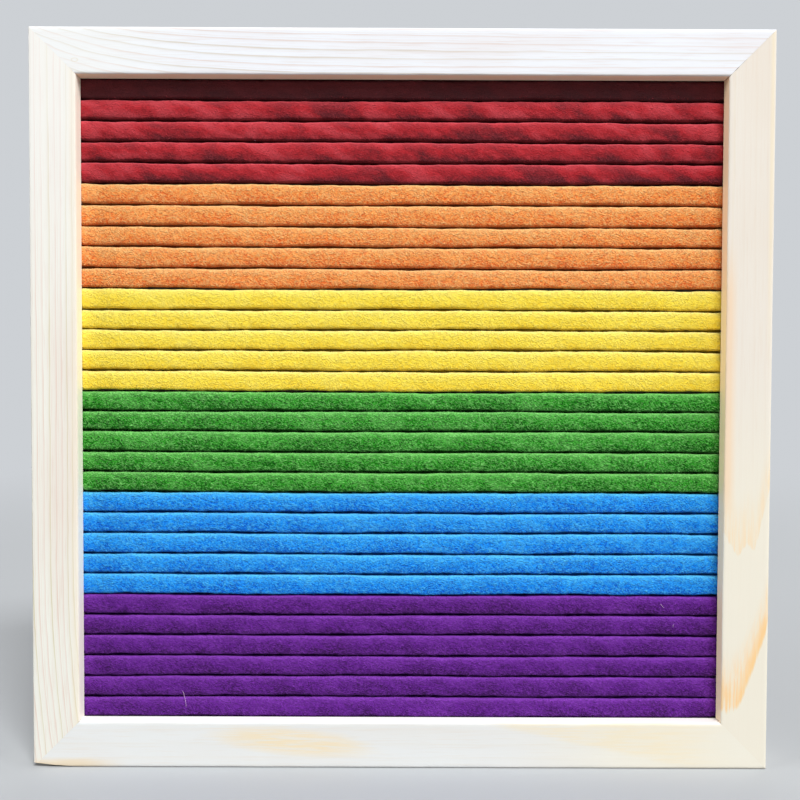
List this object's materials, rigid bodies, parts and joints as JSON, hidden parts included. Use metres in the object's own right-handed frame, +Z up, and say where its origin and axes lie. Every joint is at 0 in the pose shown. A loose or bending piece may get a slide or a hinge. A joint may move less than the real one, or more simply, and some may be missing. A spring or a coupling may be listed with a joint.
{
  "type": "felt letter board",
  "caption": "Square felt letter board with pleated rainbow-striped felt ribs and grooves in a mitred pale wood frame, closed at the back and with a sawtooth hanger.",
  "frame": {"origin": "centre of the frame's underside, half way through the frame's depth; the hanger stands out behind it", "axes": "+Z up as the board stands or hangs, +X to the viewer's right, +Y from the felt side to the back"},
  "size_m": [0.254, 0.0218, 0.254],
  "materials": {
    "pine": "pale, sanded and unvarnished, with fine pinkish grain lines",
    "felt_red": "matte short-fibre felt",
    "felt_orange": "matte short-fibre felt",
    "felt_yellow": "matte short-fibre felt",
    "felt_green": "matte short-fibre felt",
    "felt_blue": "matte short-fibre felt",
    "felt_purple": "matte short-fibre felt",
    "slat_wood": "raw sawn wood",
    "grey_card": "grey pulp board",
    "hardboard": "smooth brown hardboard",
    "zinc_steel": "bright zinc plating"
  },
  "bodies": {
    "root": {"frame_bottom_rail": "pine", "frame_left_stile": "pine", "frame_top_rail": "pine", "frame_right_stile": "pine", "felt_red": "felt_red", "felt_orange": "felt_orange", "felt_yellow": "felt_yellow", "felt_green": "felt_green", "felt_blue": "felt_blue", "felt_purple": "felt_purple", "slat_01": "slat_wood", "slat_02": "slat_wood", "slat_03": "slat_wood", "slat_04": "slat_wood", "slat_05": "slat_wood", "slat_06": "slat_wood", "slat_07": "slat_wood", "slat_08": "slat_wood", "slat_09": "slat_wood", "slat_10": "slat_wood", "slat_11": "slat_wood", "slat_12": "slat_wood", "slat_13": "slat_wood", "slat_14": "slat_wood", "slat_15": "slat_wood", "slat_16": "slat_wood", "slat_17": "slat_wood", "slat_18": "slat_wood", "slat_19": "slat_wood", "slat_20": "slat_wood", "slat_21": "slat_wood", "slat_22": "slat_wood", "slat_23": "slat_wood", "slat_24": "slat_wood", "slat_25": "slat_wood", "slat_26": "slat_wood", "slat_27": "slat_wood", "slat_28": "slat_wood", "slat_29": "slat_wood", "slat_30": "slat_wood", "slat_31": "slat_wood", "card_backing": "grey_card", "back_board": "hardboard", "retaining_point_bottom_1": "zinc_steel", "retaining_point_bottom_2": "zinc_steel", "retaining_point_left_1": "zinc_steel", "retaining_point_left_2": "zinc_steel", "retaining_point_top_1": "zinc_steel", "retaining_point_top_2": "zinc_steel", "retaining_point_right_1": "zinc_steel", "retaining_point_right_2": "zinc_steel", "mitre_nail_bottom_left": "zinc_steel", "mitre_nail_bottom_right": "zinc_steel", "mitre_nail_top_left": "zinc_steel", "mitre_nail_top_right": "zinc_steel", "sawtooth_hanger": "zinc_steel", "hanger_nail_left": "zinc_steel", "hanger_nail_right": "zinc_steel"}
  },
  "joints": []
}
